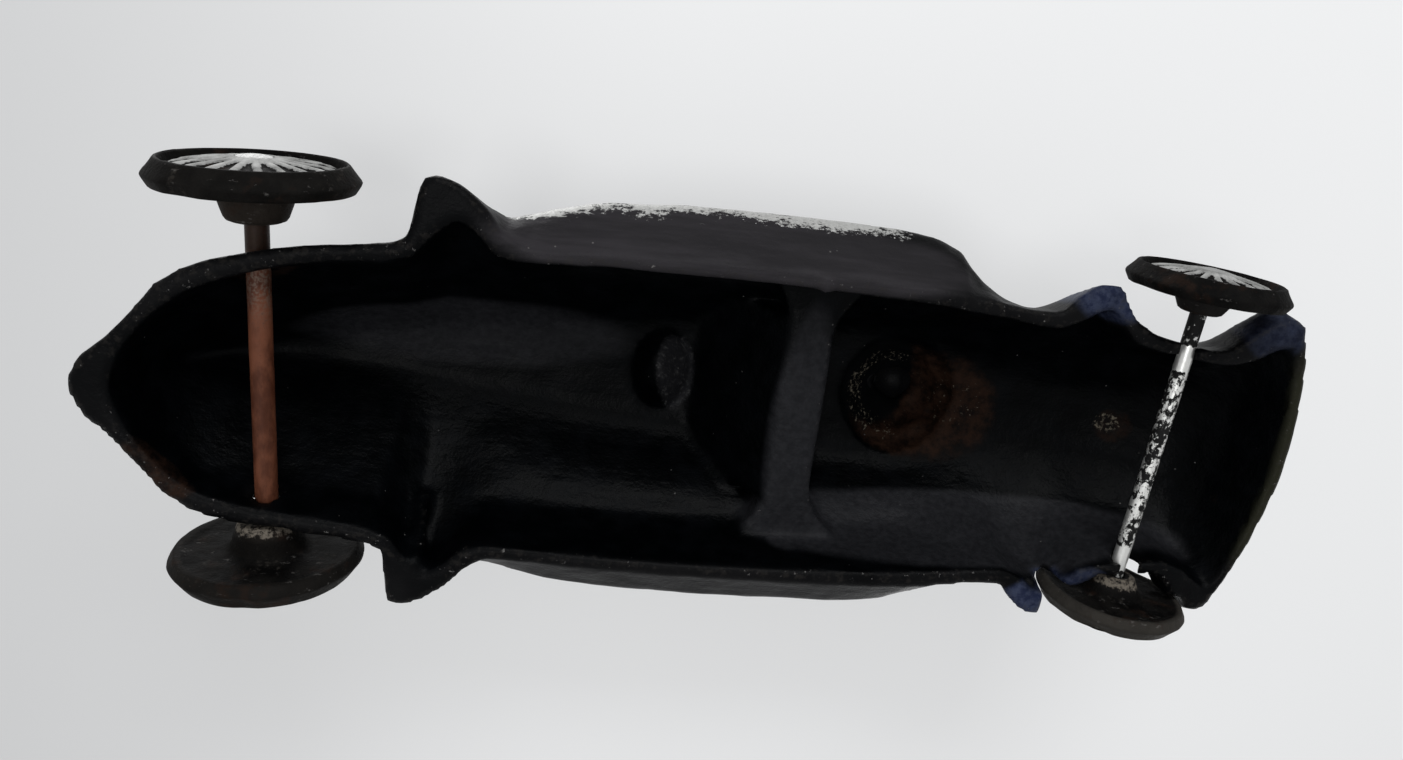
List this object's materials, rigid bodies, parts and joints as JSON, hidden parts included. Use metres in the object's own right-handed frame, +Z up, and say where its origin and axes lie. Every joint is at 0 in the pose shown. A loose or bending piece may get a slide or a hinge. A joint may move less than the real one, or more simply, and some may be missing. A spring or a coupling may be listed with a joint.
{
  "type": "toy race car",
  "caption": "Hollow cast toy race car, open underneath, with a cast-in driver, and spoked wheels that turn on through axles.",
  "frame": {"origin": "on the floor under the middle of the car's overall length and width", "axes": "+X towards the nose, +Y towards the car's left, +Z up"},
  "size_m": [0.1768, 0.0642, 0.0533],
  "materials": {
    "body_enamel": "worn black enamel on rough cast iron, with blue and silver remnants",
    "wheel_enamel": "worn black enamel on cast iron, silver on the spokes",
    "rear_rod_steel": "rusty brown bare steel",
    "front_rod_steel": "bare bright steel with dark specks"
  },
  "bodies": {
    "body": {"body_casting": "body_enamel"},
    "rear_axle": {"rear_axle": "rear_rod_steel"},
    "front_axle": {"front_axle": "front_rod_steel"},
    "wheel_rear_left": {"wheel_rear_left": "wheel_enamel"},
    "wheel_rear_right": {"wheel_rear_right": "wheel_enamel"},
    "wheel_front_left": {"wheel_front_left": "wheel_enamel"},
    "wheel_front_right": {"wheel_front_right": "wheel_enamel"}
  },
  "joints": [
    {"name": "rear_axle_spin", "type": "hinge", "parent": "body", "child": "rear_axle", "pos_m": [-0.0644, 0, 0.01355], "axis": [0.0244, 0.9997, 0], "continuous": true},
    {"name": "front_axle_spin", "type": "hinge", "parent": "body", "child": "front_axle", "pos_m": [0.068, 0, 0.0115], "axis": [-0.0489, 0.9988, 0], "continuous": true},
    {"name": "wheel_rear_left_spin", "type": "hinge", "parent": "rear_axle", "child": "wheel_rear_left", "pos_m": [-0.0644, 0, 0.01355], "axis": [0.0244, 0.9997, 0], "continuous": true},
    {"name": "wheel_rear_right_spin", "type": "hinge", "parent": "rear_axle", "child": "wheel_rear_right", "pos_m": [-0.0644, 0, 0.01355], "axis": [0.0244, 0.9997, 0], "continuous": true},
    {"name": "wheel_front_left_spin", "type": "hinge", "parent": "front_axle", "child": "wheel_front_left", "pos_m": [0.068, 0, 0.0115], "axis": [-0.0489, 0.9988, 0], "continuous": true},
    {"name": "wheel_front_right_spin", "type": "hinge", "parent": "front_axle", "child": "wheel_front_right", "pos_m": [0.068, 0, 0.0115], "axis": [-0.0489, 0.9988, 0], "continuous": true}
  ]
}
